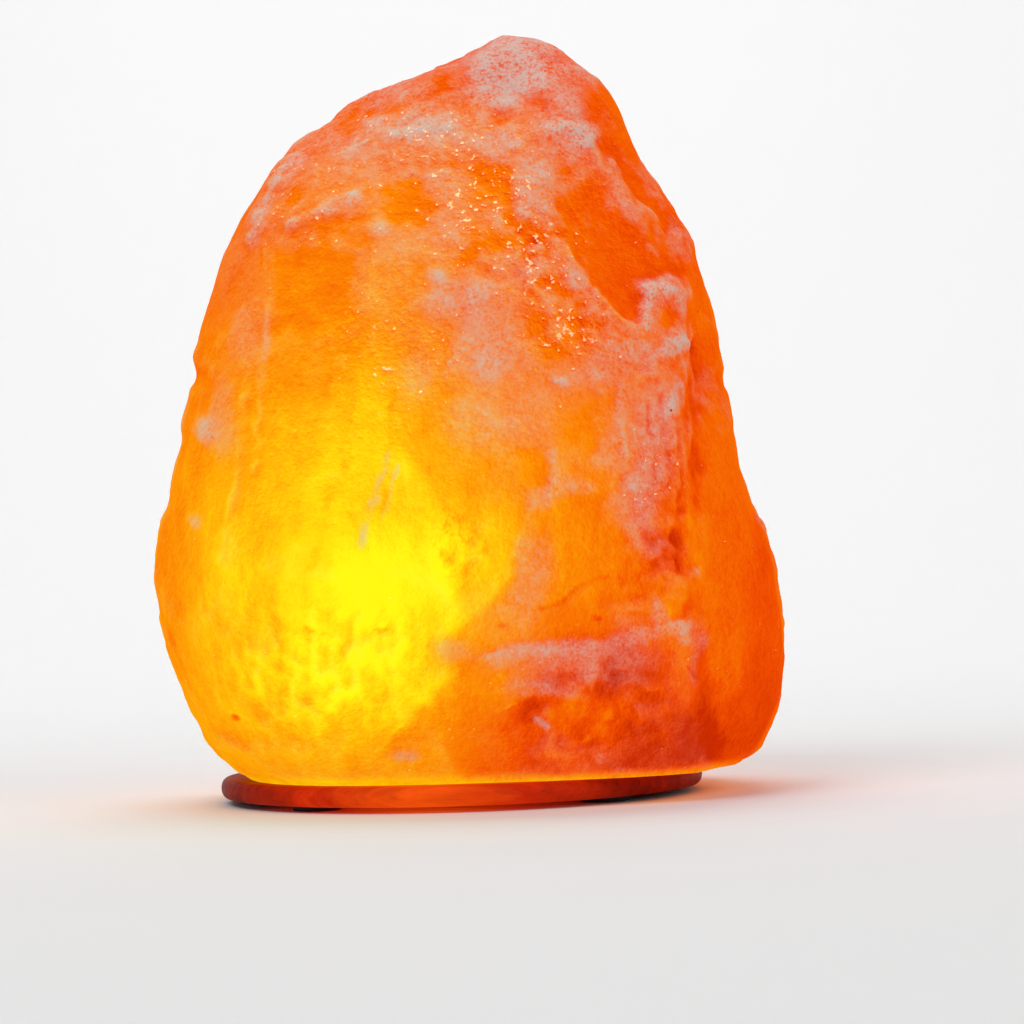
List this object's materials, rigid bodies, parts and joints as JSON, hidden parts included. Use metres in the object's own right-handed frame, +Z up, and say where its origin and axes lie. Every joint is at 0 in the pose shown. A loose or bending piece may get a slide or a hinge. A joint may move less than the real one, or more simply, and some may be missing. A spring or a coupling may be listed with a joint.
{
  "type": "salt crystal lamp",
  "caption": "Rough-hewn block of translucent orange rock salt on a thin turned wooden base, lit by a screw-in bulb whose spring-held holder pulls out from below.",
  "frame": {"origin": "on the table under the middle of the crystal; the axis of the base, the bulb and its hole stands 3.2 mm to the left of it, at x = -0.0032", "axes": "+Z up; the front, which the picture shows, faces -Y; the cord's groove runs out of the back, +Y; +X is to the right seen from the front"},
  "size_m": [0.156, 0.1338, 0.1889],
  "materials": {
    "rock_salt": "translucent orange-pink rock salt, hewn and then washed smooth, lit from inside",
    "base_wood": "turned hardwood, stained red-brown and varnished",
    "foot_rubber": "moulded black rubber",
    "plated_steel": "zinc-plated steel",
    "spring_steel": "rolled spring steel strip",
    "plug_plastic": "moulded nylon",
    "holder_plastic": "pressed black thermoset plastic",
    "core_ceramic": "unglazed white porcelain",
    "shell_brass": "bright rolled brass",
    "lamp_brass": "nickel-washed brass",
    "insulator_glass": "black vitreous insulator",
    "lamp_cement": "baked cement",
    "clear_glass": "clear blown glass",
    "stem_glass": "clear pressed glass stem",
    "lamp_wire": "drawn nickel wire",
    "hot_filament": "glowing coiled filament"
  },
  "bodies": {
    "lamp_body": {"salt_crystal": "rock_salt", "wood_base": "base_wood", "rubber_foot_1": "foot_rubber", "rubber_foot_2": "foot_rubber", "rubber_foot_3": "foot_rubber", "rubber_foot_4": "foot_rubber", "base_screws": "plated_steel", "screw_plugs": "plug_plastic"},
    "lampholder": {"cord_nipple": "plated_steel", "clip_nut": "plated_steel", "spring_clip": "spring_steel", "holder_cap": "holder_plastic", "holder_skirt": "holder_plastic", "holder_core": "core_ceramic", "threaded_shell": "shell_brass", "centre_contact": "shell_brass", "terminal_blocks": "shell_brass", "terminal_screws": "plated_steel"},
    "bulb_seat": {"bulb_contact": "lamp_brass"},
    "bulb": {"cap_insulator": "insulator_glass", "lamp_cap": "lamp_brass", "cap_cement": "lamp_cement", "bulb_glass": "clear_glass", "glass_stem": "stem_glass", "lead_wires": "lamp_wire", "support_wire": "lamp_wire", "filament": "hot_filament"}
  },
  "joints": [
    {"name": "holder_slide", "type": "slide", "parent": "lamp_body", "child": "lampholder", "axis": [0, 0, -1], "range_m": [0, 0.1]},
    {"name": "bulb_lift", "type": "slide", "parent": "lampholder", "child": "bulb_seat", "axis": [0, 0, 1], "range_m": [0, 0.00988]},
    {"name": "bulb_turn", "type": "hinge", "parent": "bulb_seat", "child": "bulb", "pos_m": [-0.0032, 0, 0.04], "axis": [0, 0, 1], "range_deg": [0, 1260]}
  ],
  "couplings": [
    {"joint": "bulb_lift", "follows": "bulb_turn", "m_per_rad": 0.00044882}
  ]
}
